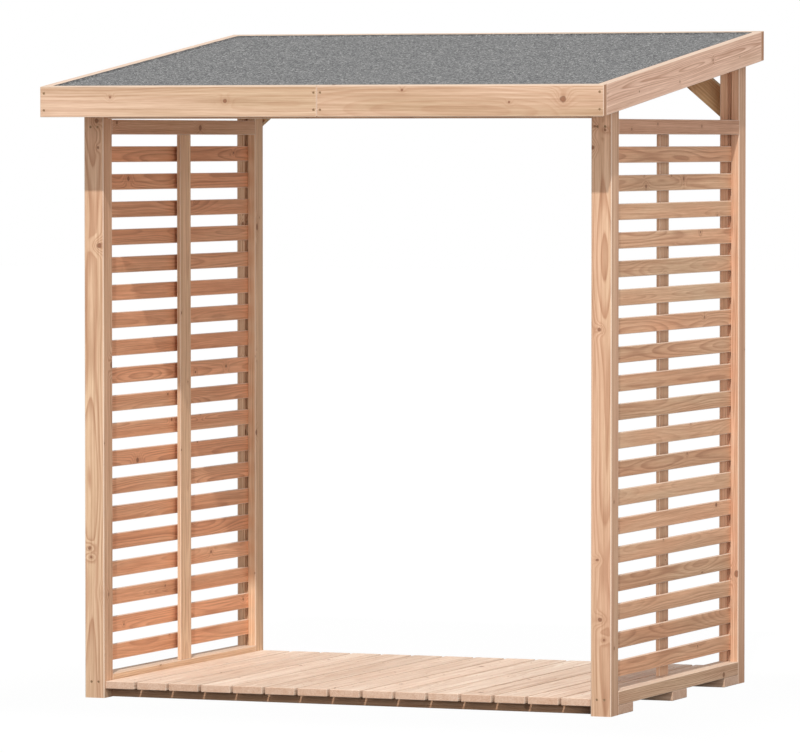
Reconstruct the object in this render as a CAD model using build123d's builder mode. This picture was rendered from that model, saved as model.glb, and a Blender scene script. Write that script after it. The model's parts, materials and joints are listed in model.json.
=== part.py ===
from build123d import *
import os
from math import cos, radians, tan

os.makedirs("parts", exist_ok=True)

# Open-fronted timber log store with a pent roof, in millimetres.
# +X is to the right seen from the front, -Y is the front, +Z is up and the posts stand on Z = 0.
# The origin is on the ground, under the middle of the roof.

# Timber stock
POST_SIZE = 68.0  # square posts, also the width of the side rails
BEAM_WIDTH = 40.0
BEAM_DEPTH = 68.0
RAFTER_WIDTH = 44.0
RAFTER_DEPTH = 70.0
TRIM_THICKNESS = 28.0  # fascia boards, barge boards and rear braces
TRIM_HEIGHT = 98.0
POST_EDGE_CHAMFER = 3.0
TIMBER_EDGE_CHAMFER = 2.0  # eased long edges of the sawn timbers

# Frame
FRAME_WIDTH = 1805.0  # over the posts
FRAME_DEPTH = 1310.0  # over the posts
FRONT_OVERHANG = 220.0
SIDE_OVERHANG = 53.0

# Roof heights, all measured plumb
EAVES_HEIGHT = 1970.0  # top edge of the front fascia
ROOF_RISE = 191.0  # from the front edge of the roof to its rear edge
FELT_SETBACK = 5.0  # the felt lies this far below the top of the trim
FELT_THICKNESS = 3.0
FELT_EDGE_GAP = 3.0  # between the felt and the trim round it
ROOF_BOARD_THICKNESS = 19.0
ROOF_BOARD_COUNT = 13
ROOF_BOARD_GAP = 2.0
BIRDSMOUTH_DEPTH = 30.0  # notch in the centre rafter over each beam

# Floor
JOIST_THICKNESS = 30.0
JOIST_WIDTH = 140.0
FLOOR_BOARD_COUNT = 15
FLOOR_BOARD_THICKNESS = 24.0
FLOOR_BOARD_GAP = 11.0
FLOOR_BOARD_SETBACK = 6.0  # board ends stay behind the faces of the posts

# Side panels
BOTTOM_RAIL_HEIGHT = 44.0
TOP_RAIL_HEIGHT = 48.0
TOP_RAIL_DROP = 2.0  # from the underside of the front beam to the top of the top rails
SLAT_COUNT = 19
SLAT_HEIGHT = 51.5
GROOVE_WIDTH = 13.0
GROOVE_DEPTH = 14.0
SLAT_CLEARANCE = 0.5  # each side of a slat in its groove
STILE_WIDTH = 86.0
STILE_THICKNESS = 13.0

# Rear corner braces
BRACE_ANGLE = 40.0  # from horizontal
BRACE_WIDTH = 78.0
BRACE_DROP = 249.0  # from the foot of the rear fascia to the lowest corner of a brace
BRACE_SETBACK = 12.0  # from the outer face of a post to the end of its brace

# Derived places
ROOF_WIDTH = FRAME_WIDTH + 2 * SIDE_OVERHANG
ROOF_DEPTH = FRONT_OVERHANG + FRAME_DEPTH + TRIM_THICKNESS  # the rear fascia stands behind the posts
ROOF_FRONT = -ROOF_DEPTH / 2
ROOF_BACK = ROOF_DEPTH / 2
TRIM_INNER_FRONT = ROOF_FRONT + TRIM_THICKNESS
TRIM_INNER_BACK = ROOF_BACK - TRIM_THICKNESS
TRIM_INNER_SIDE = ROOF_WIDTH / 2 - TRIM_THICKNESS
FRAME_FRONT = ROOF_FRONT + FRONT_OVERHANG
FRAME_BACK = FRAME_FRONT + FRAME_DEPTH
FRAME_MIDDLE = (FRAME_FRONT + FRAME_BACK) / 2
PANEL_FRONT = FRAME_FRONT + POST_SIZE
PANEL_BACK = FRAME_BACK - POST_SIZE
FRAME_SIDE = FRAME_WIDTH / 2
BAY_SIDE = FRAME_SIDE - POST_SIZE
POST_CENTRE_X = FRAME_SIDE - POST_SIZE / 2
FRONT_POST_Y = FRAME_FRONT + POST_SIZE / 2
REAR_POST_Y = FRAME_BACK - POST_SIZE / 2
FRONT_BEAM_Y = PANEL_FRONT - BEAM_WIDTH / 2
REAR_BEAM_Y = FRAME_BACK - BEAM_WIDTH / 2
FELT_FOOT_DROP = FELT_SETBACK + FELT_THICKNESS
RAFTER_TOP_DROP = FELT_FOOT_DROP + ROOF_BOARD_THICKNESS
RAFTER_FOOT_DROP = RAFTER_TOP_DROP + RAFTER_DEPTH
SLAT_THICKNESS = GROOVE_WIDTH - 2 * SLAT_CLEARANCE
BOTTOM_RAIL_TOP = JOIST_THICKNESS + BOTTOM_RAIL_HEIGHT
SIDES = (("left", -1), ("right", 1))
LONG_EDGE_COUNT = 4  # on every straight timber


def roof_line(y, drop=0.0):
    """Height of the roof's top line at depth y, or of a line at a plumb drop below it."""
    return EAVES_HEIGHT + ROOF_RISE * (y - ROOF_FRONT) / ROOF_DEPTH - drop


def beam_top(y_centre):
    """Level of the top of a beam, above the underside of the rafters by the birdsmouth."""
    return roof_line(y_centre, RAFTER_FOOT_DROP) + BIRDSMOUTH_DEPTH


def box_between(x_range, y_range, z_range):
    """A square-edged timber between the given limits."""
    with BuildPart() as timber:
        with BuildSketch(Plane.XY.offset(z_range[0])):
            with Locations(((x_range[0] + x_range[1]) / 2, (y_range[0] + y_range[1]) / 2)):
                Rectangle(x_range[1] - x_range[0], y_range[1] - y_range[0])
        extrude(amount=z_range[1] - z_range[0])
    return timber


def pitched_timber(x_range, y_range, top_drop, foot_drop):
    """A timber with plumb ends whose top and bottom follow the pitch of the roof."""
    y_front, y_back = y_range
    with BuildPart() as timber:
        with BuildSketch(Plane.YZ.offset(x_range[0])):
            with BuildLine():
                Polyline(
                    (y_front, roof_line(y_front, foot_drop)),
                    (y_back, roof_line(y_back, foot_drop)),
                    (y_back, roof_line(y_back, top_drop)),
                    (y_front, roof_line(y_front, top_drop)),
                    close=True,
                )
            make_face()
        extrude(amount=x_range[1] - x_range[0])
    return timber


def eased(timber):
    """The same timber with its long edges lightly chamfered."""
    with BuildPart() as eased_timber:
        add(timber.part)
        long_edges = eased_timber.edges().sort_by(SortBy.LENGTH)[-LONG_EDGE_COUNT:]
        chamfer(long_edges, length=TIMBER_EDGE_CHAMFER)
    return eased_timber


def save(timber, name):
    """Label a finished piece and write its STEP file."""
    timber.part.label = name
    export_step(timber.part, f"parts/{name}.step")


# Posts: a groove for the slats runs up the face towards the side panel, and the top is cut to
# the pitch of the roof to seat a rafter.
def make_post(sign, y_centre, panel_face):
    """A grooved post; panel_face is +1 where the panel lies behind the post, -1 in front."""
    with BuildPart() as post:
        with BuildSketch(Plane.XY):
            with Locations((sign * POST_CENTRE_X, y_centre)):
                Rectangle(POST_SIZE, POST_SIZE)
            with Locations((sign * POST_CENTRE_X, y_centre + panel_face * (POST_SIZE - GROOVE_DEPTH) / 2)):
                Rectangle(GROOVE_WIDTH, GROOVE_DEPTH, mode=Mode.SUBTRACT)
        extrude(amount=roof_line(ROOF_BACK))
        corners = post.edges().filter_by(Axis.Z).filter_by(
            lambda edge: abs(abs(edge.center().X - sign * POST_CENTRE_X) - POST_SIZE / 2) < GROOVE_DEPTH / 2
        )
        chamfer(corners, length=POST_EDGE_CHAMFER)
        with BuildSketch(Plane.YZ):
            with BuildLine():
                Polyline(
                    (ROOF_FRONT, roof_line(ROOF_FRONT, RAFTER_FOOT_DROP)),
                    (ROOF_BACK + POST_SIZE, roof_line(ROOF_BACK + POST_SIZE, RAFTER_FOOT_DROP)),
                    (ROOF_BACK + POST_SIZE, roof_line(ROOF_BACK + POST_SIZE, -POST_SIZE)),
                    (ROOF_FRONT, roof_line(ROOF_BACK + POST_SIZE, -POST_SIZE)),
                    close=True,
                )
            make_face()
        extrude(amount=ROOF_WIDTH / 2, both=True, mode=Mode.SUBTRACT)
    return post


for side, sign in SIDES:
    save(make_post(sign, FRONT_POST_Y, 1), f"front_{side}_post")
    save(make_post(sign, REAR_POST_Y, -1), f"rear_{side}_post")


# Joists: three boards laid flat across the whole width, behind the front posts, in the middle
# and in front of the rear posts.
JOIST_CENTRES = {
    "front_joist": PANEL_FRONT + JOIST_WIDTH / 2,
    "middle_joist": FRAME_MIDDLE,
    "rear_joist": PANEL_BACK - JOIST_WIDTH / 2,
}
for joist_name, y_centre in JOIST_CENTRES.items():
    joist = box_between(
        (-FRAME_SIDE, FRAME_SIDE),
        (y_centre - JOIST_WIDTH / 2, y_centre + JOIST_WIDTH / 2),
        (0, JOIST_THICKNESS),
    )
    save(eased(joist), joist_name)


# Floor: boards from front to back on the joists, filling the width between the bottom rails.
floor_board_pitch = (2 * BAY_SIDE + FLOOR_BOARD_GAP) / FLOOR_BOARD_COUNT
with BuildPart() as floor_boards:
    for index in range(FLOOR_BOARD_COUNT):
        board_left = -BAY_SIDE + index * floor_board_pitch
        floor_board = box_between(
            (board_left, board_left + floor_board_pitch - FLOOR_BOARD_GAP),
            (FRAME_FRONT + FLOOR_BOARD_SETBACK, FRAME_BACK - FLOOR_BOARD_SETBACK),
            (JOIST_THICKNESS, JOIST_THICKNESS + FLOOR_BOARD_THICKNESS),
        )
        add(eased(floor_board).part)
save(floor_boards, "floor_boards")


# Side panels: rails between the posts, slats housed in the grooves of the posts, and a thin
# stile from rail to rail in the middle of the panel, flush with the inner faces of the rails.
top_rail_top = beam_top(FRONT_BEAM_Y) - BEAM_DEPTH - TOP_RAIL_DROP
top_rail_foot = top_rail_top - TOP_RAIL_HEIGHT
slat_pitch = (top_rail_foot - BOTTOM_RAIL_TOP + SLAT_HEIGHT) / (SLAT_COUNT + 1)
panel_y = (PANEL_FRONT, PANEL_BACK)
slat_y = (PANEL_FRONT - GROOVE_DEPTH, PANEL_BACK + GROOVE_DEPTH)
stile_y = (FRAME_MIDDLE - STILE_WIDTH / 2, FRAME_MIDDLE + STILE_WIDTH / 2)


def make_slats(sign):
    """The slats of one panel, with equal gaps between them and at both rails."""
    slat_x = (sign * POST_CENTRE_X - SLAT_THICKNESS / 2, sign * POST_CENTRE_X + SLAT_THICKNESS / 2)
    with BuildPart() as slats:
        for index in range(SLAT_COUNT):
            slat_top = BOTTOM_RAIL_TOP + (index + 1) * slat_pitch
            slat = box_between(slat_x, slat_y, (slat_top - SLAT_HEIGHT, slat_top))
            add(eased(slat).part)
    return slats


for side, sign in SIDES:
    rail_x = sorted((sign * BAY_SIDE, sign * FRAME_SIDE))
    stile_x = sorted((sign * BAY_SIDE, sign * (BAY_SIDE + STILE_THICKNESS)))
    bottom_rail = box_between(rail_x, panel_y, (JOIST_THICKNESS, BOTTOM_RAIL_TOP))
    top_rail = box_between(rail_x, panel_y, (top_rail_foot, top_rail_top))
    stile = box_between(stile_x, stile_y, (BOTTOM_RAIL_TOP, top_rail_foot))
    save(eased(bottom_rail), f"{side}_bottom_rail")
    save(eased(top_rail), f"{side}_top_rail")
    save(eased(stile), f"{side}_middle_stile")
    save(make_slats(sign), f"{side}_slats")


# Beams: level timbers between the posts, both flush with the back faces of their posts.
for beam_name, y_centre in (("front_beam", FRONT_BEAM_Y), ("rear_beam", REAR_BEAM_Y)):
    beam = box_between(
        (-BAY_SIDE, BAY_SIDE),
        (y_centre - BEAM_WIDTH / 2, y_centre + BEAM_WIDTH / 2),
        (beam_top(y_centre) - BEAM_DEPTH, beam_top(y_centre)),
    )
    save(eased(beam), beam_name)


# Rafters: the side rafters sit on the posts, flush with their outer faces, and the centre
# rafter is notched over both beams.
rafter_y = (TRIM_INNER_FRONT, TRIM_INNER_BACK)
for side, sign in SIDES:
    rafter_x = sorted((sign * (FRAME_SIDE - RAFTER_WIDTH), sign * FRAME_SIDE))
    rafter = pitched_timber(rafter_x, rafter_y, RAFTER_TOP_DROP, RAFTER_FOOT_DROP)
    save(eased(rafter), f"{side}_rafter")

with BuildPart() as centre_rafter:
    rafter_x = (-RAFTER_WIDTH / 2, RAFTER_WIDTH / 2)
    add(eased(pitched_timber(rafter_x, rafter_y, RAFTER_TOP_DROP, RAFTER_FOOT_DROP)).part)
    for y_centre in (FRONT_BEAM_Y, REAR_BEAM_Y):
        with BuildSketch(Plane.YZ):
            with Locations((y_centre, beam_top(y_centre) - BEAM_DEPTH / 2)):
                Rectangle(BEAM_WIDTH, BEAM_DEPTH)
        extrude(amount=RAFTER_WIDTH, both=True, mode=Mode.SUBTRACT)
save(centre_rafter, "centre_rafter")


# Roof covering: boards from side to side on the rafters, under one sheet of felt.
roof_board_pitch = (TRIM_INNER_BACK - TRIM_INNER_FRONT + ROOF_BOARD_GAP) / ROOF_BOARD_COUNT
with BuildPart() as roof_boards:
    for index in range(ROOF_BOARD_COUNT):
        board_front = TRIM_INNER_FRONT + index * roof_board_pitch
        board = pitched_timber(
            (-TRIM_INNER_SIDE, TRIM_INNER_SIDE),
            (board_front, board_front + roof_board_pitch - ROOF_BOARD_GAP),
            FELT_FOOT_DROP,
            RAFTER_TOP_DROP,
        )
        add(board.part)
save(roof_boards, "roof_boards")

roof_felt = pitched_timber(
    (-TRIM_INNER_SIDE + FELT_EDGE_GAP, TRIM_INNER_SIDE - FELT_EDGE_GAP),
    (TRIM_INNER_FRONT + FELT_EDGE_GAP, TRIM_INNER_BACK - FELT_EDGE_GAP),
    FELT_SETBACK,
    FELT_FOOT_DROP,
)
save(roof_felt, "roof_felt")


# Trim: fascias in two lengths, butted over the centre rafter, and barge boards between them.
for side, sign in SIDES:
    half_x = sorted((0, sign * ROOF_WIDTH / 2))
    barge_x = sorted((sign * TRIM_INNER_SIDE, sign * ROOF_WIDTH / 2))
    front_y = (ROOF_FRONT, TRIM_INNER_FRONT)
    rear_y = (TRIM_INNER_BACK, ROOF_BACK)
    save(eased(pitched_timber(half_x, front_y, 0, TRIM_HEIGHT)), f"front_fascia_{side}")
    save(eased(pitched_timber(half_x, rear_y, 0, TRIM_HEIGHT)), f"rear_fascia_{side}")
    save(eased(pitched_timber(barge_x, rafter_y, 0, TRIM_HEIGHT)), f"{side}_barge_board")


# Rear corner braces: on the back faces of the rear posts and the rear beam, cut plumb just short
# of the outer face of the post and level under the rear fascia.
BRACE_PLUMB_WIDTH = BRACE_WIDTH / cos(radians(BRACE_ANGLE))
BRACE_SLOPE = tan(radians(BRACE_ANGLE))
brace_top = roof_line(FRAME_BACK, TRIM_HEIGHT)
brace_foot = brace_top - BRACE_DROP
brace_end = FRAME_SIDE - BRACE_SETBACK
lower_run = BRACE_DROP / BRACE_SLOPE
upper_run = (BRACE_DROP - BRACE_PLUMB_WIDTH) / BRACE_SLOPE
for side, sign in SIDES:
    with BuildPart() as brace:
        with BuildSketch(Plane.XZ.offset(-FRAME_BACK)):
            with BuildLine():
                Polyline(
                    (sign * brace_end, brace_foot),
                    (sign * (brace_end - lower_run), brace_top),
                    (sign * (brace_end - upper_run), brace_top),
                    (sign * brace_end, brace_foot + BRACE_PLUMB_WIDTH),
                    close=True,
                )
            make_face()
        extrude(amount=-TRIM_THICKNESS)
    save(brace, f"rear_{side}_brace")
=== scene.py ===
import json
import math
import random

import bmesh
import bpy
from mathutils import Matrix, Vector


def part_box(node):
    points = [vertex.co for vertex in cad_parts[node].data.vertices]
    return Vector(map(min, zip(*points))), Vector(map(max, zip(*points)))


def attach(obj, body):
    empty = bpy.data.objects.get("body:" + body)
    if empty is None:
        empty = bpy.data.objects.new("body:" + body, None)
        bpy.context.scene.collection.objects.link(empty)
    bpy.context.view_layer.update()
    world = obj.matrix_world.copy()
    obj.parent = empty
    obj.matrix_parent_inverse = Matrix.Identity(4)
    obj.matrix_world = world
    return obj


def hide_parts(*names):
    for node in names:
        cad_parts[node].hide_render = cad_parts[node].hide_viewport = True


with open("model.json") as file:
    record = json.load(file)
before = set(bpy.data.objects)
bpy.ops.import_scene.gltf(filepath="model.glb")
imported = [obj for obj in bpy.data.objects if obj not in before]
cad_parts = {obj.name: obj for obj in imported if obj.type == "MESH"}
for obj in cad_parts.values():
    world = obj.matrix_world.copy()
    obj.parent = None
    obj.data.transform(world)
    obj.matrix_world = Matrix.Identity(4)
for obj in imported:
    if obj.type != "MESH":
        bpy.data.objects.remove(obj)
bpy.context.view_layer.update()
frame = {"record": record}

RNG = random.Random(41)

# ---------------------------------------------------------------- sizes shared with the CAD model
SLAT_COUNT, SLAT_HEIGHT = 19, 0.0515
FLOOR_BOARD_COUNT, FLOOR_BOARD_GAP = 15, 0.011
ROOF_BOARD_COUNT, ROOF_BOARD_GAP = 13, 0.002
GROOVE_WIDTH, GROOVE_DEPTH = 0.013, 0.014
FELT_THICKNESS = 0.003
BRACE_ANGLE, BRACE_WIDTH = math.radians(40), 0.078
FELT_LOW, FELT_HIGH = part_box("roof_felt")
SLOPE = (FELT_HIGH.z - FELT_LOW.z - FELT_THICKNESS) / (FELT_HIGH.y - FELT_LOW.y)

# ---------------------------------------------------------------- sizes of the finer detail
POST_CORNER, CORNER_STEPS = 0.003, 3
FRAME_EASING, TRIM_EASING, BRACE_EASING, BOARD_EASING = 0.002, 0.0022, 0.0016, 0.001
HOLE_RADIUS, SINK_RADIUS, HOLE_LENGTH, HOLE_DEPTH, HOLE_POINTS = 0.0020, 0.0046, 0.0056, 0.0026, 20
SMALLEST_TIMBER_FACE = 4e-6  # smaller ones are the walls of screw holes
POST_SCREW_INSETS = (0.0225, 0.0475)
FLOOR_SCREW_INSET, DRIFT_ACROSS, DRIFT_ALONG = 0.024, 0.002, 0.004  # screws stray from their lines
FASCIA_END_INSET, FASCIA_JOINT_INSET, FASCIA_SCREW_RISE = 0.0135, 0.011, 0.027
BARGE_FRONT_INSET, BARGE_REAR_INSET, BARGE_SCREW_DROP = 0.30, 0.22, 0.01
BRACE_FOOT_SCREWS = ((0.030, 0.052), (0.052, 0.085))  # in from the post's face, up from the foot
BRACE_HEAD_SCREWS = ((0.075, 0.025), (0.10, 0.025))  # out from the tip, down from the top
RAGGED_END = 0.003  # floor boards end unevenly by up to this
TURN_UP, TURN_HEIGHT = 0.012, 0.0045  # the felt's turned-up rim
BOARD_RIPPLE, SHEET_RIPPLE, RIPPLE_LENGTH = 0.0006, 0.0005, 0.1155  # the felt's rise and fall
SHEET_COLUMNS, SHEET_ROWS = 74, 60


# ---------------------------------------------------------------- node helpers
def linear(red, green, blue):
    """A display colour, 0 to 255, as linear light."""
    return tuple((c / 255 / 12.92) if c <= 10 else ((c / 255 + 0.055) / 1.055) ** 2.4
                 for c in (red, green, blue))


def flat(rgb):
    """The colour as a socket takes it."""
    return (*rgb, 1.0)


class Tree:
    """Short calls for building a material's nodes."""

    def __init__(self, name):
        self.material = bpy.data.materials.new(name)
        self.material.use_nodes = True
        self.tree = self.material.node_tree
        self.tree.nodes.clear()

    def node(self, kind, inputs=(), **settings):
        node = self.tree.nodes.new(kind)
        for key, value in settings.items():
            setattr(node, key, value)
        for key, value in dict(inputs).items():
            self.feed(node.inputs[key], value)
        return node

    def feed(self, socket, value):
        if isinstance(value, bpy.types.NodeSocket):
            self.tree.links.new(value, socket)
        else:
            socket.default_value = value

    def math(self, operation, a, b=0.0, clamp=False):
        return self.node("ShaderNodeMath", {0: a, 1: b}, operation=operation, use_clamp=clamp).outputs[0]

    def vector(self, operation, a, b=None):
        inputs = {0: a} if b is None else {0: a, 1: b}
        node = self.node("ShaderNodeVectorMath", inputs, operation=operation)
        return node.outputs["Value" if operation == "LENGTH" else "Vector"]

    def mix(self, factor, a, b, blend="MIX"):
        node = self.node("ShaderNodeMix", data_type="RGBA", blend_type=blend)
        self.feed(node.inputs[0], factor)
        self.feed(node.inputs[6], a)
        self.feed(node.inputs[7], b)
        return node.outputs[2]

    def noise(self, vector, scale, detail=2.0, roughness=0.5, output="Fac"):
        node = self.node("ShaderNodeTexNoise", {"Vector": vector, "Scale": scale, "Detail": detail,
                                                "Roughness": roughness})
        return node.outputs[output]

    def ramp(self, value, stops):
        node = self.node("ShaderNodeValToRGB", {"Fac": value})
        while len(node.color_ramp.elements) < len(stops):
            node.color_ramp.elements.new(0.5)
        for element, (place, shade) in zip(node.color_ramp.elements, stops):
            element.position = place
            element.color = (shade, shade, shade, 1) if isinstance(shade, float) else (*shade, 1)
        return node.outputs[0]

    def range(self, value, low, high, new_low=0.0, new_high=1.0):
        node = self.node("ShaderNodeMapRange", {"Value": value, "From Min": low, "From Max": high,
                                                "To Min": new_low, "To Max": new_high},
                         interpolation_type="SMOOTHSTEP")
        return node.outputs[0]

    def attribute(self, name, output="Vector"):
        return self.node("ShaderNodeAttribute", attribute_name=name).outputs[output]

    def separate(self, vector):
        return self.node("ShaderNodeSeparateXYZ", {0: vector}).outputs

    def combine(self, x, y, z=0.0):
        return self.node("ShaderNodeCombineXYZ", {0: x, 1: y, 2: z}).outputs[0]

    def finish(self, color, roughness, height, bump, distance, specular):
        shader = self.node("ShaderNodeBsdfPrincipled", {"Base Color": color, "Roughness": roughness,
                                                        "Specular IOR Level": specular})
        node = self.node("ShaderNodeBump", {"Height": height, "Strength": bump, "Distance": distance})
        self.feed(shader.inputs["Normal"], node.outputs[0])
        out = self.node("ShaderNodeOutputMaterial")
        self.feed(out.inputs[0], shader.outputs[0])
        return self.material


# ---------------------------------------------------------------- wood
# waves a metre along, across and through the grain
WANDER, RIPPLE = (1.3, 2.0, 2.0), (7.0, 40.0, 40.0)
BROAD, STREAK = (1.6, 14.0, 14.0), (1.0, 60.0, 60.0)
THREAD, FIBRE, WOBBLE = (2.6, 190.0, 190.0), (14.0, 520.0, 520.0), (90.0, 90.0, 30.0)
BOARD_SHIFT = (31.0, 17.0, 23.0)  # sets each timber in a stretch of wood of its own
PITH_WANDER = (0.0, 0.045, 0.060)
RIPPLE_HEIGHT = 0.0009
YEAR = ((0.0, 0.25), (0.08, 0.0), (0.45, 0.12), (0.8, 0.85), (0.93, 1.0), (1.0, 0.25))  # late wood's share
KNOT_CELL = (0.24, 0.075)  # one chance of a knot in each cell of a face
CELL_SHIFT = (37.0, 29.0)  # sets each timber's knots apart from the others'
NARROW_SHIFT = 0.4  # and a narrow face's knots from those of the wide faces
KNOT_SMALLEST, KNOT_SPREAD = 0.0022, 0.0052
KNOT_STRETCH = 1.35  # knots are longer along the grain
KNOT_REACH, KNOT_SWELL = 3.4, 2.2  # in knot radii: how far rings bend, and by how much
ABSENT = 50.0  # how many radii away a knot that isn't there counts as
# the first share is of the painted highlight on edges and tops
EDGE_HIGHLIGHT_SHARE, KNOT_SHARE, RIM_SHARE, HALO_SHARE, SAWN_SHARE = 0.62, 0.85, 0.55, 0.22, 0.5
OLIVE_TINT, PAINTED_SHADE_TINT, SAWN_TINT = (0.74, 0.75, 0.6), (0.66, 0.51, 0.40), (0.84, 0.68, 0.56)


def knot_field(t, g, seed, side, shifted, knots, marks):
    """Distance to the nearest knot in knot radii, its radius, and how far the rings swell round it.
    marks are knots at places of their own."""
    across = t.math("ADD", t.math("MULTIPLY", g[1], t.math("SUBTRACT", 1.0, side)),
                    t.math("MULTIPLY", t.math("ADD", g[2], NARROW_SHIFT), side))
    cells = []
    for spot, seed_part, length, shift in zip((g[0], across), seed, KNOT_CELL, CELL_SHIFT):
        cells.append(t.math("ADD", t.math("DIVIDE", spot, length), t.math("MULTIPLY", seed_part, shift)))
    face_place = t.combine(*cells)
    voronoi = t.node("ShaderNodeTexVoronoi", {"Vector": face_place, "Scale": 1.0, "Randomness": 0.85},
                     voronoi_dimensions="2D", feature="F1")
    offset = t.separate(t.vector("SUBTRACT", face_place, voronoi.outputs["Position"]))
    chance = t.separate(voronoi.outputs["Color"])
    far = t.vector("LENGTH", t.combine(t.math("MULTIPLY", offset[0], KNOT_CELL[0] / KNOT_STRETCH),
                                       t.math("MULTIPLY", offset[1], KNOT_CELL[1])))
    wobble = t.noise(t.vector("MULTIPLY", shifted, WOBBLE), 1.0, 1.0)
    wobble = t.math("SUBTRACT", wobble, 0.5)
    far = t.math("ADD", far, t.math("MULTIPLY", wobble, 0.003))
    absent = t.math("SUBTRACT", 1.0, t.math("LESS_THAN", chance[0], knots))
    size = t.math("ADD", KNOT_SMALLEST, t.math("MULTIPLY", t.math("POWER", chance[1], 2.0), KNOT_SPREAD))
    near = t.math("ADD", t.math("DIVIDE", far, size), t.math("MULTIPLY", absent, ABSENT))
    place = t.node("ShaderNodeTexCoord").outputs["Object"] if marks else None
    for spot, mark_size in marks:
        gap = t.vector("LENGTH", t.vector("SUBTRACT", place, spot))
        gap = t.math("ADD", gap, t.math("MULTIPLY", wobble, 0.005))
        near = t.math("MINIMUM", near, t.math("DIVIDE", gap, mark_size))
        close = t.math("LESS_THAN", gap, 6 * mark_size)
        size = t.math("MAXIMUM", size, t.math("MULTIPLY", close, mark_size))
    reach = t.math("POWER", t.math("DIVIDE", near, KNOT_REACH), 2.0)
    swell = t.math("EXPONENT", t.math("MULTIPLY", reach, -1.0))
    return near, size, swell


def ring_radius(t, g, pith, shifted):
    """Distance from the timber's pith, which wanders along it."""
    slow = t.noise(t.vector("MULTIPLY", shifted, WANDER), 1.0, 1.0, output="Color")
    slow = t.vector("SUBTRACT", slow, (0.5, 0.5, 0.5))
    wander = t.separate(t.vector("MULTIPLY", slow, PITH_WANDER))
    ripple = t.noise(t.vector("MULTIPLY", shifted, RIPPLE), 1.0, 2.0)
    y = t.math("SUBTRACT", t.math("ADD", g[1], wander[1]), pith[0])
    z = t.math("SUBTRACT", t.math("ADD", g[2], wander[2]), pith[1])
    radius = t.vector("LENGTH", t.combine(0.0, y, z))
    return t.math("ADD", radius, t.math("MULTIPLY", t.math("SUBTRACT", ripple, 0.5), RIPPLE_HEIGHT))


def growth_rings(t, radius, ring, seed):
    """Pale early wood that darkens into a narrow late band, with strong and weak years."""
    uneven = t.noise(t.combine(t.math("MULTIPLY", radius, 60.0), seed[2]), 1.0, 2.0)
    phase = t.math("ADD", t.math("DIVIDE", radius, ring), t.math("MULTIPLY", uneven, 3.0))
    late_wood = t.ramp(t.math("FRACT", phase), YEAR)
    years = t.combine(t.math("MULTIPLY", radius, 25.0), t.math("MULTIPLY", seed[0], 9.0))
    strength = t.noise(years, 1.0, 1.0)
    return t.math("MULTIPLY", late_wood, t.range(strength, 0.3, 0.7, 0.35, 1.0))


def fibre_shade(t, shifted, seed, fibre):
    """Brightness that streaks, threads and fibres give the wood, and each timber's own share."""
    thread = t.noise(t.vector("MULTIPLY", shifted, THREAD), 1.0, 2.0, 0.6)
    streak = t.noise(t.vector("MULTIPLY", shifted, STREAK), 1.0, 2.0)
    shade = 1.0
    for texture, weight in ((streak, 0.4), (thread, 0.6), (fibre, 0.4)):
        shade = t.math("ADD", shade, t.math("MULTIPLY", t.math("SUBTRACT", texture, 0.5), weight))
    return t.math("MULTIPLY", shade, t.math("ADD", 0.93, t.math("MULTIPLY", seed[2], 0.13)))


def knot_tint(t, color, near, swell, inside, knot, late):
    """The knots themselves, ringed, with a dark rim and a halo of late wood."""
    from_rim = t.math("DIVIDE", t.math("SUBTRACT", near, 1.0), 0.22)
    rim = t.math("EXPONENT", t.math("MULTIPLY", t.math("POWER", from_rim, 2.0), -1.0))
    waves = t.math("SINE", t.math("MULTIPLY", near, 11.0))
    knot_rings = t.math("ADD", 0.5, t.math("MULTIPLY", waves, 0.5))
    knot_color = t.mix(t.math("MULTIPLY", knot_rings, 0.5), flat(knot), flat(late))
    color = t.mix(t.math("MULTIPLY", inside, KNOT_SHARE), color, knot_color)
    color = t.mix(t.math("MULTIPLY", rim, RIM_SHARE), color, flat(tuple(c * 0.45 for c in knot)))
    return t.mix(t.math("MULTIPLY", swell, HALO_SHARE), color, flat(late))


def tinted(t, color, share, tint):
    """The colour, multiplied by the tint to that share."""
    return t.mix(share, color, t.mix(1.0, color, flat(tint), "MULTIPLY"))


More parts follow.
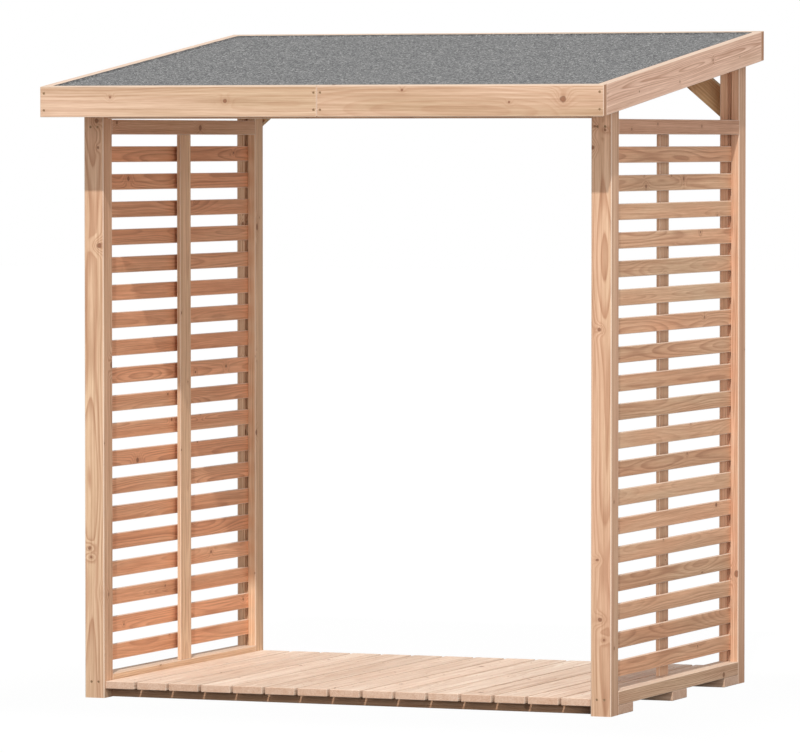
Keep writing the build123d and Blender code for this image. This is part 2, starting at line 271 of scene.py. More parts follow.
def wood(name, pale, warm, late, knot, contrast, ring, knots, marks=()):
    """Sawn softwood as a solid texture: growth rings round each timber's own pith, fibre, and knots
    that the rings flow round. ring is a year's growth and knots the share of cells that have one.
    Reads each timber's grain, board and pith attributes. Its tone, the third part of pith, runs from
    0, pale, to 1, warm, and on to 2, with painted shade on its long faces. Below 0 the timber is tinted olive
    and darker."""
    t = Tree(name)
    grain = t.attribute("grain")
    board = t.attribute("board")
    pith = t.separate(t.attribute("pith"))
    end = t.attribute("end_grain", "Fac")
    edge_highlight = t.attribute("edge_highlight", "Fac")
    side = t.attribute("side", "Fac")
    g = t.separate(grain)
    seed = t.separate(board)
    tone = pith[2]
    shifted = t.vector("ADD", grain, t.vector("MULTIPLY", board, BOARD_SHIFT))

    near, size, swell = knot_field(t, g, seed, side, shifted, knots, marks)
    radius = ring_radius(t, g, pith, shifted)
    radius = t.math("ADD", radius, t.math("MULTIPLY", swell, t.math("MULTIPLY", size, KNOT_SWELL)))
    rings = growth_rings(t, radius, ring, seed)
    fibre = t.noise(t.vector("MULTIPLY", shifted, FIBRE), 1.0, 2.0, 0.6)

    broad = t.noise(t.vector("MULTIPLY", shifted, BROAD), 1.0, 2.0)
    broad = t.math("MULTIPLY", t.math("SUBTRACT", broad, 0.5), 1.3)
    color = t.mix(t.math("ADD", tone, broad, clamp=True), flat(pale), flat(warm))
    color = t.mix(t.math("MULTIPLY", rings, contrast), color, flat(late))
    shade = fibre_shade(t, shifted, seed, fibre)
    tint = t.combine(shade, t.math("POWER", shade, 1.35), t.math("POWER", shade, 1.6))
    color = t.mix(1.0, color, tint, "MULTIPLY")
    # painted highlight: eased edges and upward tops turn cream
    color = t.mix(t.math("MULTIPLY", edge_highlight, EDGE_HIGHLIGHT_SHARE), color, flat(HIGHLIGHT_CREAM))
    # tones below 0 tint the timber olive and darker
    color = tinted(t, color, t.math("MULTIPLY", tone, -1.0, clamp=True), OLIVE_TINT)
    # painted shade: tones past 1 darken the long faces and leave the end grain as it is
    long_face = t.math("SUBTRACT", 1.0, end)
    painted_shade = t.math("MULTIPLY", t.math("SUBTRACT", tone, 1.0, clamp=True), long_face)
    color = tinted(t, color, painted_shade, PAINTED_SHADE_TINT)

    inside = t.math("SUBTRACT", 1.0, t.range(near, 0.72, 1.15))
    color = knot_tint(t, color, near, swell, inside, knot, late)
    sawn = tuple(c * f for c, f in zip(late, SAWN_TINT))
    color = t.mix(t.math("MULTIPLY", end, SAWN_SHARE), color, flat(sawn))

    height = t.math("ADD", t.math("MULTIPLY", rings, 0.5), t.math("MULTIPLY", fibre, 0.8))
    height = t.math("ADD", height, t.math("MULTIPLY", inside, 0.35))
    roughness = t.math("ADD", 0.58, t.math("MULTIPLY", fibre, 0.2))
    return t.finish(color, roughness, height, bump=0.35, distance=0.0006, specular=0.25)


# ---------------------------------------------------------------- felt and steel
GRIT, SPECKS, CLOUDS, WEAR = 330.0, 235.0, 9.0, 900.0  # grains a metre
# width and depth of the painted shade along the felt's rim
FELT_RIM, RIM_PAINTED_SHADE = 0.022, 0.62
GRIT_COLORS = ((0.15, linear(70, 71, 74)), (0.42, linear(108, 109, 111)),
               (0.62, linear(138, 139, 140)), (0.8, linear(204, 204, 202)))
STEEL_DARK, STEEL_WORN = linear(156, 124, 92), linear(206, 176, 140)


def granules():
    """Mineral-faced felt: fine dark and pale grit, a little uneven in tone, with painted shade along its rim.
    """
    t = Tree("roof_felt_granules")
    place = t.node("ShaderNodeTexCoord").outputs["Object"]
    grit = t.noise(place, GRIT, 2.0, 0.7)
    specks = t.node("ShaderNodeTexVoronoi", {"Vector": place, "Scale": SPECKS}).outputs["Color"]
    specks = t.separate(specks)[0]
    cloud = t.noise(place, CLOUDS, 3.0, 0.6)
    value = t.math("ADD", t.math("MULTIPLY", grit, 0.5), t.math("MULTIPLY", specks, 0.5))
    color = t.ramp(value, GRIT_COLORS)
    spot = t.separate(place)
    reach = []
    for i in (0, 1):
        middle, half = (FELT_HIGH[i] + FELT_LOW[i]) / 2, (FELT_HIGH[i] - FELT_LOW[i]) / 2
        reach.append(t.math("SUBTRACT", half, t.math("ABSOLUTE", t.math("SUBTRACT", spot[i], middle))))
    # painted shade along the felt's rim, where it meets the trim
    rim_shade = t.range(t.math("MINIMUM", *reach), 0.0, FELT_RIM, RIM_PAINTED_SHADE, 1.0)
    shade = t.math("MULTIPLY", rim_shade, t.math("ADD", 0.92, t.math("MULTIPLY", cloud, 0.16)))
    color = t.mix(1.0, color, t.combine(shade, shade, shade), "MULTIPLY")
    roughness = t.math("ADD", 0.82, t.math("MULTIPLY", grit, 0.15))
    return t.finish(color, roughness, value, bump=0.6, distance=0.0015, specular=0.15)


def metal():
    """Bronzed screw steel with slight wear."""
    t = Tree("screw_steel")
    place = t.node("ShaderNodeTexCoord").outputs["Object"]
    worn = t.noise(place, WEAR, 2.0)
    color = t.mix(t.range(worn, 0.45, 0.75), flat(STEEL_DARK), flat(STEEL_WORN))
    roughness = t.math("ADD", 0.38, t.math("MULTIPLY", worn, 0.2))
    material = t.finish(color, roughness, worn, bump=0.1, distance=0.0002, specular=0.3)
    material.node_tree.nodes["Principled BSDF"].inputs["Metallic"].default_value = 0.3
    return material


# ---------------------------------------------------------------- colours, and knots with places of their own
# the colour of the painted highlight
HIGHLIGHT_CREAM = linear(240, 221, 203)
PALE, WARM = linear(228, 194, 161), linear(213, 166, 138)
LATE, KNOT = linear(176, 124, 94), linear(118, 76, 54)
FASCIA_FACE, BARGE_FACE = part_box("front_fascia_left")[0].y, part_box("right_barge_board")[1].x
POST_FACE, RAIL_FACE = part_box("front_left_post")[0].y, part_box("right_top_rail")[1].x
SLAT_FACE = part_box("right_slats")[1].x
TRIM_KNOTS = [((x, FASCIA_FACE, z), size) for x, z, size in (
    (-0.710, 1.935, 0.0034), (-0.312, 1.923, 0.0055), (0.288, 1.9555, 0.0035), (0.644, 1.917, 0.0034),
    (0.822, 1.926, 0.0085))]
TRIM_KNOTS += [((BARGE_FACE, 0.258, 2.058), 0.004), ((BARGE_FACE, -0.067, 1.985), 0.003)]
FRAME_KNOTS = [((x, POST_FACE, z), size) for x, z, size in (
    (0.847, 1.843, 0.004), (0.839, 1.777, 0.006), (0.880, 1.831, 0.004), (0.856, 0.490, 0.004),
    (0.866, 0.303, 0.006), (0.879, 0.240, 0.004), (0.862, 1.210, 0.005), (-0.886, 0.484, 0.005),
    (-0.880, 0.455, 0.004), (-0.857, 1.862, 0.006), (-0.850, 1.460, 0.007))]
FRAME_KNOTS += [((RAIL_FACE, y, z), 0.004) for y, z in ((-0.373, 1.834), (-0.126, 1.851), (0.303, 1.845))]
SLAT_KNOTS = [((SLAT_FACE, 0.206, 1.674), 0.006), ((SLAT_FACE, -0.42, 0.30), 0.004)]
LOOKS = {
    "frame_timber": wood("frame_timber", PALE, WARM, LATE, KNOT,
                         contrast=0.78, ring=0.0052, knots=0.3, marks=FRAME_KNOTS),
    "trim_timber": wood("trim_timber", linear(202, 169, 139), linear(240, 201, 178), LATE, KNOT,
                        contrast=0.6, ring=0.0056, knots=0.1, marks=TRIM_KNOTS),
    "slat_timber": wood("slat_timber", linear(220, 182, 148), linear(230, 168, 130), linear(168, 112, 84),
                        KNOT, contrast=0.58, ring=0.0044, knots=0.2, marks=SLAT_KNOTS),
    "floor_timber": wood("floor_timber", linear(251, 233, 215), linear(245, 219, 198),
                         linear(204, 160, 130), KNOT, contrast=0.5, ring=0.0056, knots=0.25),
    "sheathing_timber": wood("sheathing_timber", linear(228, 192, 150), linear(214, 168, 128), LATE,
                             KNOT, contrast=0.5, ring=0.005, knots=0.6),
}
FELT_LOOK = granules()
STEEL = metal()


# ---------------------------------------------------------------- shapes
X, Y, Z = 0, 1, 2
UNIT = ((1, 0, 0), (0, 1, 0), (0, 0, 1))


def shown(name, data):
    """An object with this mesh, in the scene and on the fixed body."""
    obj = bpy.data.objects.new(name, data)
    bpy.context.scene.collection.objects.link(obj)
    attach(obj, "root")
    return obj


def middle_of(node):
    """The middle of a node's box."""
    low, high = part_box(node)
    return (low + high) / 2


def level_box(node):
    """A pitched node's box at the middle of its depth, with its plumb height."""
    low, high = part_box(node)
    rise = SLOPE * (high.y - low.y)
    return Vector((low.x, low.y, low.z + rise / 2)), Vector((high.x, high.y, high.z - rise / 2))


def pitch_about(middle_y):
    """A move that gives level places the roof's fall, with no change at middle_y."""
    return lambda co: Vector((co.x, co.y, co.z + SLOPE * (co.y - middle_y)))


def outline_box(low, high, grain):
    """The four corners of a timber's cross-section, in the two axes across the grain."""
    a, b = [i for i in (X, Y, Z) if i != grain]
    return [(low[a], low[b]), (high[a], low[b]), (high[a], high[b]), (low[a], high[b])]


def prism(outline, axis, start, end):
    """A bmesh with the outline, given in the two other axes in order, swept along axis."""
    a, b = [i for i in (X, Y, Z) if i != axis]
    mesh = bmesh.new()
    rings = []
    for level in (start, end):
        ring = []
        for p, q in outline:
            place = [0.0, 0.0, 0.0]
            place[a], place[b], place[axis] = p, q, level
            ring.append(mesh.verts.new(place))
        rings.append(ring)
    count = len(outline)
    for i in range(count):
        j = (i + 1) % count
        mesh.faces.new((rings[0][i], rings[0][j], rings[1][j], rings[1][i]))
    mesh.faces.new(rings[0][::-1])
    mesh.faces.new(rings[1])
    bmesh.ops.recalc_face_normals(mesh, faces=mesh.faces)
    return mesh


def eased(mesh, width):
    """Round every edge of the timber lightly."""
    bmesh.ops.bevel(mesh, geom=list(mesh.edges), offset=width, segments=2, profile=0.5,
                    affect="EDGES", clamp_overlap=True)
    return mesh


def drilled(mesh, holes):
    """The timber with a countersunk hole at each (place, outward direction)."""
    if not holes:
        return mesh
    cutter = bmesh.new()
    for place, outward in holes:
        turn = Vector(outward).to_track_quat("Z", "Y").to_matrix().to_4x4()
        spot = Matrix.Translation(Vector(place) - Vector(outward) * HOLE_DEPTH)
        bmesh.ops.create_cone(cutter, cap_ends=True, segments=HOLE_POINTS, radius1=HOLE_RADIUS,
                              radius2=SINK_RADIUS, depth=HOLE_LENGTH, matrix=spot @ turn)
    both = []
    for shape in (mesh, cutter):
        data = bpy.data.meshes.new("work")
        shape.to_mesh(data)
        shape.free()
        both.append(bpy.data.objects.new("work", data))
        bpy.context.scene.collection.objects.link(both[-1])
    cut = both[0].modifiers.new("holes", "BOOLEAN")
    cut.object, cut.operation, cut.solver = both[1], "DIFFERENCE", "EXACT"
    graph = bpy.context.evaluated_depsgraph_get()
    result = bmesh.new()
    result.from_mesh(both[0].evaluated_get(graph).to_mesh())
    for obj in both:
        data = obj.data
        bpy.data.objects.remove(obj)
        bpy.data.meshes.remove(data)
    return result


# ---------------------------------------------------------------- screws
SCREW_POINTS = 24
RECESS_LOBES, LOBE_DEPTH = 6, 0.16
# each ring's radius and its level from the timber's surface, from the shank to the recess's floor
HEAD_RINGS = ((0.0024, -0.0032), (0.0037, -0.0009), (0.0039, -0.0006), (0.0036, -0.0004))
RECESS_RINGS = ((0.0019, -0.0004), (0.0017, -0.0006), (0.0015, -0.0018))
SCREWS = {}  # places and outward directions, by group


def fix(group, holes, move=None):
    """Adds a screw for each hole to the named group of screws, its head just under the surface."""
    places = SCREWS.setdefault(group, [])
    for place, outward in holes:
        place = Vector(place)
        places.append((move(place) if move else place, Vector(outward)))
    return holes


def screw_ring(mesh, spot, radius, level, lobe_depth):
    """One ring of a screw's points round its axis, drawn in between the recess's lobes."""
    ring = []
    for i in range(SCREW_POINTS):
        angle = 2 * math.pi * i / SCREW_POINTS
        reach = radius * (1 - lobe_depth * (1 - math.cos(RECESS_LOBES * angle)) / 2)
        point = Vector((reach * math.cos(angle), reach * math.sin(angle), level))
        ring.append(mesh.verts.new(spot @ point))
    return ring


def screw(mesh, place, outward):
    """A countersunk head with a six-lobed recess, turned by chance."""
    turn = outward.to_track_quat("Z", "Y").to_matrix().to_4x4()
    spin = Matrix.Rotation(RNG.uniform(0, math.pi), 4, "Z")
    spot = Matrix.Translation(place) @ turn @ spin
    rings = [screw_ring(mesh, spot, radius, level, 0.0) for radius, level in HEAD_RINGS]
    rings += [screw_ring(mesh, spot, radius, level, LOBE_DEPTH) for radius, level in RECESS_RINGS]
    for lower, upper in zip(rings, rings[1:]):
        for i in range(SCREW_POINTS):
            j = (i + 1) % SCREW_POINTS
            mesh.faces.new((lower[i], lower[j], upper[j], upper[i]))
    mesh.faces.new(rings[-1])
    mesh.faces.new(rings[0][::-1])


def make_screws():
    """Every screw, one piece a group."""
    for group, places in SCREWS.items():
        mesh = bmesh.new()
        for place, outward in places:
            screw(mesh, place, outward)
        data = bpy.data.meshes.new(group)
        mesh.to_mesh(data)
        mesh.free()
        data.materials.append(STEEL)
        shown(group, data)


# ---------------------------------------------------------------- timber
SLOT_OF = {row["node"]: row["material_slot"] for row in frame["record"]["subparts"]}
END_FACING, SIDE_FACING, SQUARE_FACING, UP_FACING = 0.8, 0.7, 0.995, 0.9  # how nearly a face turns so
EDGE_HIGHLIGHT, TOP_HIGHLIGHT = 1.0, 0.9  # painted highlight on eased edges, and on the tops of the timbers that take it
PLAIN_TONES = (0.1, 0.75)
PITH_ACROSS, PITH_THROUGH = 0.03, (0.02, 0.07)  # from the timber's middle, and from one face


class Piece:
    """One visible piece: several timbers in one mesh, with the attributes that the wood reads."""

    def __init__(self, node):
        self.node, self.slot = node, SLOT_OF[node]
        # these timbers get a painted highlight on their tops
        self.highlighted_tops = self.slot in ("trim_timber", "slat_timber") or node.endswith("bottom_rail")
        self.places, self.faces = [], []
        self.of_points = {"grain": [], "board": [], "pith": []}
        self.of_faces = {"end_grain": [], "edge_highlight": [], "side": []}

    def add(self, mesh, to_grain, thickness, tone=None, pith=None, move=None):
        """Takes a bmesh. to_grain turns its coordinates into along, across and through the timber."""
        tone = RNG.uniform(*PLAIN_TONES) if tone is None else tone
        board = (RNG.random(), RNG.random(), RNG.random())
        if pith is None:
            across = RNG.uniform(-PITH_ACROSS, PITH_ACROSS)
            pith = (across, -RNG.choice((-1, 1)) * RNG.uniform(*PITH_THROUGH) - thickness / 2)
        first = len(self.places)
        mesh.verts.ensure_lookup_table()
        mesh.normal_update()
        for vert in mesh.verts:
            self.places.append(tuple(move(vert.co) if move else vert.co))
            self.of_points["grain"].append(tuple(to_grain @ vert.co))
            self.of_points["board"].append(board)
            self.of_points["pith"].append((pith[0], pith[1], tone))
        turn = to_grain.to_3x3()
        for face in mesh.faces:
            self.faces.append([first + vert.index for vert in face.verts])
            turned = turn @ face.normal
            self.of_faces["end_grain"].append(float(abs(turned.x) > END_FACING))
            # each face's share of painted highlight
            self.of_faces["edge_highlight"].append(self.paleness(face, turned))
            self.of_faces["side"].append(float(abs(turned.y) > SIDE_FACING))
        mesh.free()

    def paleness(self, face, turned):
        """How much painted highlight a face gets: an eased edge, as if it caught the light, or a top, as if
        the sun lit it.
        """
        if max(abs(c) for c in turned) < SQUARE_FACING and face.calc_area() >= SMALLEST_TIMBER_FACE:
            return EDGE_HIGHLIGHT
        return TOP_HIGHLIGHT if self.highlighted_tops and face.normal.z > UP_FACING else 0.0

    def make(self):
        """Puts the piece in the scene, in place of its node."""
        mesh = bpy.data.meshes.new(self.node + "_timber")
        mesh.from_pydata(self.places, [], self.faces)
        for key, rows in self.of_points.items():
            layer = mesh.attributes.new(key, "FLOAT_VECTOR", "POINT")
            layer.data.foreach_set("vector", [c for row in rows for c in row])
        for key, values in self.of_faces.items():
            layer = mesh.attributes.new(key, "FLOAT", "FACE")
            layer.data.foreach_set("value", values)
        mesh.materials.append(LOOKS[self.slot])
        mesh.update()
        obj = shown(self.node + "_timber", mesh)
        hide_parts(self.node)


def grain_frame(centre, along, across):
    """Turns a place into along, across and through the timber, from its centre."""
    along, across = Vector(along).normalized(), Vector(across).normalized()
    through = along.cross(across)
    turn = Matrix((along, across, through)).to_4x4()
    return turn @ Matrix.Translation(-Vector(centre))


def straight(piece, low, high, grain, easing, pitched=False, tone=None, pith=None, holes=(), screws=""):
    """A square-edged timber from low to high. pitched follows the fall of the roof, and low and high
    are then its corners at the middle of its depth. holes are its screws' places before the pitch."""
    low, high = Vector(low), Vector(high)
    centre = (low + high) / 2
    a, b = [i for i in (X, Y, Z) if i != grain]
    size = high - low
    across = a if size[a] >= size[b] else b
    mesh = eased(prism(outline_box(low, high, grain), grain, low[grain], high[grain]), easing)
    mesh = drilled(mesh, holes)
    move = pitch_about(centre.y) if pitched else None
    if holes:
        fix(screws, holes, move)
    piece.add(mesh, grain_frame(centre, UNIT[grain], UNIT[across]), min(size[a], size[b]), tone, pith, move)


# ---------------------------------------------------------------- frame
# tone: 0 pale, 1 warm, to 2 with painted shade on the long faces, below 0 tinted olive and darker
POST_TONES = {"front_left_post": 0.3, "front_right_post": 0.5, "rear_left_post": 0.0, "rear_right_post": 0.65}
FRAME_TIMBERS = {  # grain and tone
    # tones past 1 paint shade: on the joists under the floor, and on the right top rail under the barge board
    "front_joist": (X, 2.0), "middle_joist": (X, 1.7), "rear_joist": (X, 1.7),
    "left_bottom_rail": (Y, 0.0), "right_bottom_rail": (Y, 0.2),
    "left_top_rail": (Y, 0.4), "right_top_rail": (Y, 1.3),
    "left_middle_stile": (Z, 0.0), "right_middle_stile": (Z, 0.3),
    "front_beam": (X, 0.4), "rear_beam": (X, 0.4)}
# the left slats' warmer tones are painted warm reflected light in the shaded inside of that panel
SLAT_TONES = {"left_slats": (0.7, 1.0), "right_slats": (0.15, 0.6)}
POST_PITH_OUTWARD, POST_PITH_ASIDE = 0.012, (0.02, 0.04)  # from the post's middle


def post_outline(low, high, grooved_side):
    """The post's section, with rounded corners and the slats' groove in its +Y or -Y face."""
    centre = ((low.x + high.x) / 2, (low.y + high.y) / 2)
    half = (high.x - low.x) / 2
    groove, floor_of_groove = GROOVE_WIDTH / 2, half - GROOVE_DEPTH
    points = []
    for turn, (sx, sy) in enumerate(((1, -1), (1, 1), (-1, 1), (-1, -1))):
        for step in range(CORNER_STEPS + 1):
            angle = math.radians(-90 + 90 * turn + 90 * step / CORNER_STEPS)
            points.append((sx * (half - POST_CORNER) + POST_CORNER * math.cos(angle),
                           sy * (half - POST_CORNER) + POST_CORNER * math.sin(angle)))
        if turn in (1, 3) and sy == grooved_side:
            points += [(sy * x, sy * y) for x, y in ((groove, half), (groove, floor_of_groove),
                                                     (-groove, floor_of_groove), (-groove, half))]
    return [(centre[0] + x, centre[1] + y) for x, y in points]


def make_post(node, grooved_side):
    """A post with its groove, its top cut to the roof's fall, and the screws into the side rails."""
    low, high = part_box(node)
    middle = (low + high) / 2
    top = high.z - SLOPE * (high.y - low.y) / 2
    mesh = prism(post_outline(low, high, grooved_side), Z, low.z, top)
    for vert in mesh.verts:
        if vert.co.z > middle.z:
            vert.co.z += SLOPE * (vert.co.y - middle.y)
    side = 1 if node.endswith("right_post") else -1
    outer_face = low.y if grooved_side > 0 else high.y
    outer_side = max(abs(low.x), abs(high.x))
    holes = [((side * (outer_side - inset), outer_face, middle_of(rail).z), (0, -grooved_side, 0))
             for inset in POST_SCREW_INSETS for rail in ("left_bottom_rail", "left_top_rail")]
    mesh = drilled(mesh, fix("post_screws", holes))
    pith = (POST_PITH_OUTWARD * side, RNG.choice((-1, 1)) * RNG.uniform(*POST_PITH_ASIDE))
    piece = Piece(node)
    piece.add(mesh, grain_frame(middle, UNIT[Z], UNIT[X]), high.y - low.y, POST_TONES[node], pith)
    piece.make()


def make_frame_timber(node, grain, tone):
    """A level or upright timber of the frame."""
    piece = Piece(node)
    low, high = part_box(node)
    straight(piece, low, high, grain, FRAME_EASING, tone=tone)
    piece.make()


def make_floor():
    """The floor boards, with two screws in every joist and ends that are a little uneven."""
    low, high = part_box("floor_boards")
    spacing = (high.x - low.x + FLOOR_BOARD_GAP) / FLOOR_BOARD_COUNT
    joists = [middle_of(name) for name in ("front_joist", "middle_joist", "rear_joist")]
    piece = Piece("floor_boards")
    for index in range(FLOOR_BOARD_COUNT):
        left = low.x + index * spacing
        right = left + spacing - FLOOR_BOARD_GAP
        back = high.y - RNG.uniform(0.0, RAGGED_END)
        holes = []
        for joist in joists:
            for x in (left + FLOOR_SCREW_INSET, right - FLOOR_SCREW_INSET):
                across = RNG.uniform(-DRIFT_ACROSS, DRIFT_ACROSS)
                along = RNG.uniform(-DRIFT_ALONG, DRIFT_ALONG)
                holes.append(((x + across, joist.y + along, high.z), (0, 0, 1)))
        front = low.y + RNG.uniform(0.0, RAGGED_END)
        straight(piece, (left, front, low.z), (right, back, high.z), Y, FRAME_EASING,
                 holes=holes, screws="floor_screws")
    piece.make()


def make_slats(node):
    """One side's slats, all alike but for their tones."""
    low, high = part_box(node)
    spacing = (high.z - low.z - SLAT_HEIGHT) / (SLAT_COUNT - 1)
    piece = Piece(node)
    for index in range(SLAT_COUNT):
        foot = low.z + index * spacing
        straight(piece, (low.x, low.y, foot), (high.x, high.y, foot + SLAT_HEIGHT), Y, FRAME_EASING,
                 tone=RNG.uniform(*SLAT_TONES[node]))
    piece.make()


for post, grooved_side in (("front_left_post", 1), ("front_right_post", 1),
                           ("rear_left_post", -1), ("rear_right_post", -1)):
    make_post(post, grooved_side)
for timber, (grain, tone) in FRAME_TIMBERS.items():
    make_frame_timber(timber, grain, tone)
make_floor()
for slats in SLAT_TONES:
    make_slats(slats)


# ---------------------------------------------------------------- roof
RAFTER_TONE, FASCIA_TONE, BARGE_TONE, BRACE_TONE = 0.12, 0.12, 1.0, -0.7
BARGE_PITH = (0.014, 0.032)


def make_rafter(node):
    """An outer rafter, under the roof boards."""
    piece = Piece(node)
    low, high = level_box(node)
    straight(piece, low, high, Y, TRIM_EASING, pitched=True, tone=RAFTER_TONE)
    piece.make()


def make_fascia(node):
    """Half of a fascia, with two screws at each end: nearer the end at the joint in the middle."""
    piece = Piece(node)
    low, high = level_box(node)
    middle = (low + high) / 2
    face, outward = (low.y, -1) if node.startswith("front") else (high.y, 1)
    holes = []
    for end, inward in ((low.x, 1), (high.x, -1)):
        at_joint = abs(end) < 0.1
        x = end + inward * (FASCIA_JOINT_INSET if at_joint else FASCIA_END_INSET)
        for rise in (-FASCIA_SCREW_RISE, FASCIA_SCREW_RISE):
            holes.append(((x, face, middle.z + rise), (0, outward, 0)))
    straight(piece, low, high, X, TRIM_EASING, pitched=True, tone=FASCIA_TONE,
             holes=holes, screws="trim_screws")
    piece.make()


def make_barge_board(node):
    """A side trim board, screwed to the rafter behind it."""
    piece = Piece(node)
    low, high = level_box(node)
    middle = (low + high) / 2
    face, outward = (high.x, 1) if low.x > 0 else (low.x, -1)
    holes = [((face, y, middle.z - BARGE_SCREW_DROP), (outward, 0, 0))
             for y in (low.y + BARGE_FRONT_INSET, high.y - BARGE_REAR_INSET)]
    straight(piece, low, high, Y, TRIM_EASING, pitched=True, tone=BARGE_TONE, pith=BARGE_PITH,
             holes=holes, screws="trim_screws")
    piece.make()


def make_centre_rafter():
    """The centre rafter, notched over both beams. The rear notch runs out through its end."""
    low, high = level_box("centre_rafter")
    middle = (low + high) / 2
    points = [(low.y, low.z)]
    for node in ("front_beam", "rear_beam"):
        beam_low, beam_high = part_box(node)
        seat = [(y, beam_high.z - SLOPE * (y - middle.y)) for y in (beam_low.y, beam_high.y)]
        points += [(beam_low.y, low.z)] + seat
        if beam_high.y < high.y - 0.001:
            points.append((beam_high.y, low.z))
    points += [(high.y, high.z), (low.y, high.z)]
    mesh = eased(prism(points, X, low.x, high.x), BOARD_EASING)
    piece = Piece("centre_rafter")
    piece.add(mesh, grain_frame(middle, UNIT[Y], UNIT[Z]), high.x - low.x, move=pitch_about(middle.y))
    piece.make()


def make_roof_boards():
    """The boards under the felt, side by side up the fall."""
    low, high = level_box("roof_boards")
    spacing = (high.y - low.y + ROOF_BOARD_GAP) / ROOF_BOARD_COUNT
    piece = Piece("roof_boards")
    for index in range(ROOF_BOARD_COUNT):
        front = low.y + index * spacing
        back = front + spacing - ROOF_BOARD_GAP
        rise = SLOPE * ((front + back) / 2 - (low.y + high.y) / 2)
        straight(piece, (low.x, front, low.z + rise), (high.x, back, high.z + rise), X, BOARD_EASING,
                 pitched=True)
    piece.make()


def make_brace(node, sign):
    """A brace from a rear post up to the rear beam, cut upright at its foot and level at its head."""
    low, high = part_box(node)
    outer = sign * max(abs(low.x), abs(high.x))
    tall = high.z - low.z
    plumb = BRACE_WIDTH / math.cos(BRACE_ANGLE)
    run = tall / math.tan(BRACE_ANGLE)
    upper = (tall - plumb) / math.tan(BRACE_ANGLE)
    outline = ((0.0, 0.0), (run, tall), (upper, tall), (0.0, plumb))
    mesh = eased(prism([(outer - sign * inward, low.z + rise) for inward, rise in outline],
                       Y, low.y, high.y), BRACE_EASING)
    screws = [(inward, rise) for inward, rise in BRACE_FOOT_SCREWS]
    screws += [(run - short, tall - drop) for short, drop in BRACE_HEAD_SCREWS]
    holes = [((outer - sign * inward, high.y, low.z + rise), (0, 1, 0)) for inward, rise in screws]
    mesh = drilled(mesh, fix("brace_screws", holes))
    piece = Piece(node)
    along = (-sign * math.cos(BRACE_ANGLE), 0, math.sin(BRACE_ANGLE))
    across = (sign * math.sin(BRACE_ANGLE), 0, math.cos(BRACE_ANGLE))
    piece.add(mesh, grain_frame((low + high) / 2, along, across), high.y - low.y, tone=BRACE_TONE)
    piece.make()


def sheet_lines(low, high, count, turned_low):
    """Places of the sheet's mesh lines from low to high, closer where its edge is turned up."""
    lines = [low + (high - low) * step / count for step in range(count)]
    if turned_low:
        lines[1:1] = [low + TURN_UP / 2, low + TURN_UP]
    return lines + [high - TURN_UP, high - TURN_UP / 2, high]


def sheet_dip(x, y):
    """How far the felt's top dips: once a board, and in slow waves that wind across the sheet."""
    over_boards = BOARD_RIPPLE * (1 + math.sin(2 * math.pi * y / RIPPLE_LENGTH)) / 2
    return over_boards + SHEET_RIPPLE * (1 + math.sin(5.1 * x + 2.3 * math.sin(4.0 * y))) / 2


def make_felt():
    """The felt in one sheet, turned up at the rear and the sides."""
    low, high = level_box("roof_felt")
    mesh = bmesh.new()
    across = sheet_lines(low.x, high.x, SHEET_COLUMNS, True)
    upward = sheet_lines(low.y, high.y, SHEET_ROWS, False)
    columns, rows = len(across) - 1, len(upward) - 1
    middle_y = (low.y + high.y) / 2
    sides = []
    for height in (lambda x, y: high.z - sheet_dip(x, y), lambda x, y: low.z):
        side = []
        for y in upward:
            row = []
            for x in across:
                inset = min(high.y - y, x - low.x, high.x - x)
                z = height(x, y) + TURN_HEIGHT * max(0.0, 1 - inset / TURN_UP)
                row.append(mesh.verts.new((x, y, z + SLOPE * (y - middle_y))))
            side.append(row)
        sides.append(side)
        for j in range(rows):
            for i in range(columns):
                mesh.faces.new((side[j][i], side[j][i + 1], side[j + 1][i + 1], side[j + 1][i]))
    upper, under = sides
    rim = [(0, i) for i in range(columns)] + [(j, columns) for j in range(rows)]
    rim += [(rows, columns - i) for i in range(columns)] + [(rows - j, 0) for j in range(rows)]
    for (j, i), (n, m) in zip(rim, rim[1:] + rim[:1]):
        mesh.faces.new((upper[j][i], under[j][i], under[n][m], upper[n][m]))
    bmesh.ops.recalc_face_normals(mesh, faces=mesh.faces)
    data = bpy.data.meshes.new("roof_felt_sheet")
    mesh.to_mesh(data)
    mesh.free()
    data.materials.append(FELT_LOOK)
    data.polygons.foreach_set("use_smooth", [abs(p.normal.z) > 0.5 for p in data.polygons])
    sheet = shown("roof_felt_sheet", data)
    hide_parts("roof_felt")


for rafter in ("left_rafter", "right_rafter"):
    make_rafter(rafter)
for fascia in ("front_fascia_left", "front_fascia_right", "rear_fascia_left", "rear_fascia_right"):
    make_fascia(fascia)
for barge_board in ("left_barge_board", "right_barge_board"):
    make_barge_board(barge_board)
make_centre_rafter()
make_roof_boards()
make_brace("rear_left_brace", -1)
make_brace("rear_right_brace", 1)
make_felt()
make_screws()


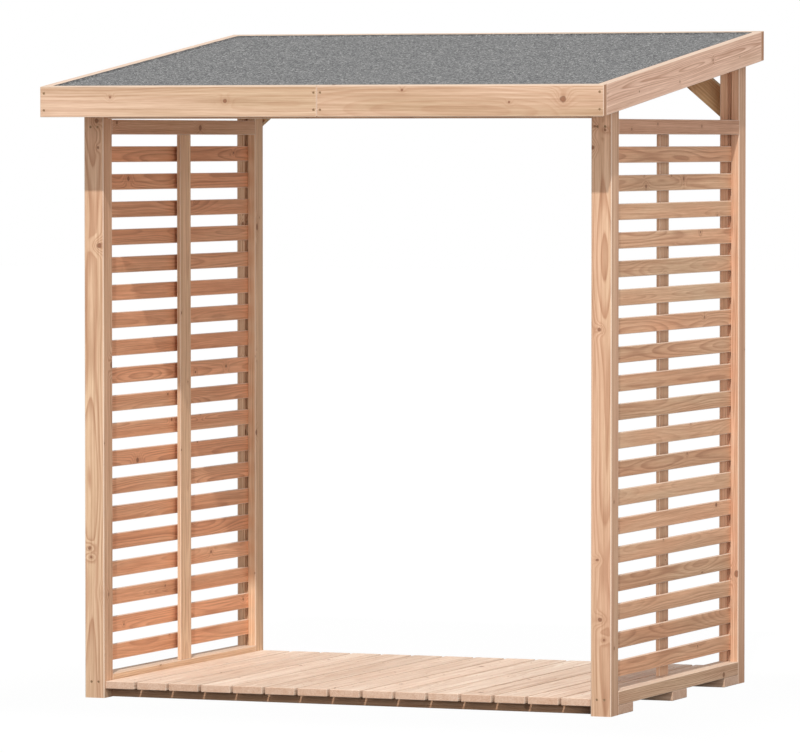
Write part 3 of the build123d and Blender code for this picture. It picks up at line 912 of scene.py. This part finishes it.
# ---------------------------------------------------------------- floor, light and camera
STORE_HALF_WIDTH, STORE_HALF_DEPTH = 0.92, 0.66
DIM_REACH = (0.15, 0.75)  # from the store outward, the ground brightens between these
GROUND_DIM = ((0.07, 0.068, 0.064), (0.09, 0.088, 0.084))  # mottled between the two
GROUND_BRIGHT = (0.40, 0.40, 0.395)
GROUND_GLOW, GLOW_SHARE = 1.045, 0.94  # what the camera sees of the ground
GROUND_SPAN = 60.0
SKY_COLOR, SKY_STRENGTH = (0.97, 0.985, 1.0), 0.55
SUN_DIRECTION, SUN_COLOR, SUN_STRENGTH, SUN_ANGLE = (-0.25, 0.85, -0.92), (1.0, 0.965, 0.915), 2.15, 1.2
FILL_PLACE, FILL_DIRECTION = (8.6, -9.6, 2.6), (-8.6, 9.6, -1.6)
FILL_COLOR, FILL_POWER, FILL_SIZE = (1.0, 0.975, 0.95), 450.0, 6.0
CAMERA_PLACE, CAMERA_LENS, SENSOR_WIDTH, VIEW_END = (7.308, -18.347, 1.799), 273.2, 36.0, 200.0
YAW, PITCH = math.radians(21.80), math.radians(2.228)
scene = bpy.context.scene


def stage_look():
    """Pale floor. The camera sees it nearly white, with the object's shadow faint on it. Bounced
    light sees it dim near the store, so that the undersides aren't lit from below."""
    t = Tree("pale_floor")
    place = t.node("ShaderNodeTexCoord").outputs["Object"]
    x, y, _ = t.separate(place)
    away = t.math("MAXIMUM", t.math("SUBTRACT", t.math("ABSOLUTE", x), STORE_HALF_WIDTH),
                  t.math("SUBTRACT", t.math("ABSOLUTE", y), STORE_HALF_DEPTH))
    near = t.mix(t.noise(place, 3.0, 2.0), flat(GROUND_DIM[0]), flat(GROUND_DIM[1]))
    color = t.mix(t.range(away, *DIM_REACH), near, flat(GROUND_BRIGHT))
    diffuse = t.node("ShaderNodeBsdfDiffuse", {"Color": color})
    glow = t.node("ShaderNodeEmission", {"Color": flat((1, 1, 1)), "Strength": GROUND_GLOW})
    seen = t.node("ShaderNodeLightPath").outputs["Is Camera Ray"]
    mixer = t.node("ShaderNodeMixShader", {0: t.math("MULTIPLY", seen, GLOW_SHARE)})
    t.feed(mixer.inputs[1], diffuse.outputs[0])
    t.feed(mixer.inputs[2], glow.outputs[0])
    out = t.node("ShaderNodeOutputMaterial")
    t.feed(out.inputs[0], mixer.outputs[0])
    return t.material


def make_ground():
    """The floor, which runs out of sight."""
    mesh = bpy.data.meshes.new("floor")
    corners = [(sx * GROUND_SPAN, sy * GROUND_SPAN, 0) for sx, sy in ((-1, -1), (1, -1), (1, 1), (-1, 1))]
    mesh.from_pydata(corners, [], [(0, 1, 2, 3)])
    mesh.materials.append(stage_look())
    ground = bpy.data.objects.new("floor", mesh)
    scene.collection.objects.link(ground)


def make_world():
    """Soft, even light from all round. The camera sees plain white."""
    world = bpy.data.worlds.new("studio")
    scene.world = world
    world.use_nodes = True
    nodes, links = world.node_tree.nodes, world.node_tree.links
    nodes.clear()
    choose = nodes.new("ShaderNodeMixShader")
    for socket, color, strength in ((1, SKY_COLOR, SKY_STRENGTH), (2, (1, 1, 1), 1.0)):
        background = nodes.new("ShaderNodeBackground")
        background.inputs["Color"].default_value = flat(color)
        background.inputs["Strength"].default_value = strength
        links.new(background.outputs[0], choose.inputs[socket])
    path = nodes.new("ShaderNodeLightPath")
    links.new(path.outputs["Is Camera Ray"], choose.inputs[0])
    out = nodes.new("ShaderNodeOutputWorld")
    links.new(choose.outputs[0], out.inputs[0])


def make_lamp(name, kind, energy, color, direction):
    """A lamp that shines in the direction, in the scene."""
    light = bpy.data.lights.new(name, kind)
    light.energy, light.color = energy, color
    obj = bpy.data.objects.new(name, light)
    obj.rotation_euler = Vector(direction).to_track_quat("-Z", "Y").to_euler()
    scene.collection.objects.link(obj)
    return obj


def make_camera():
    """The photograph's viewpoint, far off to the front right and lower than the roof's front edge."""
    data = bpy.data.cameras.new("camera")
    data.sensor_width = SENSOR_WIDTH
    data.lens = CAMERA_LENS
    data.clip_end = VIEW_END
    camera = bpy.data.objects.new("camera", data)
    camera.location = CAMERA_PLACE
    look = Vector((-math.sin(YAW) * math.cos(PITCH), math.cos(YAW) * math.cos(PITCH), -math.sin(PITCH)))
    camera.rotation_euler = look.to_track_quat("-Z", "Y").to_euler()
    scene.collection.objects.link(camera)
    scene.camera = camera


make_ground()
make_world()
sun = make_lamp("key", "SUN", SUN_STRENGTH, SUN_COLOR, SUN_DIRECTION)
sun.data.angle = math.radians(SUN_ANGLE)
fill = make_lamp("fill", "AREA", FILL_POWER, FILL_COLOR, FILL_DIRECTION)
fill.data.shape, fill.data.size = "DISK", FILL_SIZE
fill.location = FILL_PLACE
make_camera()
scene.view_settings.view_transform = "Standard"
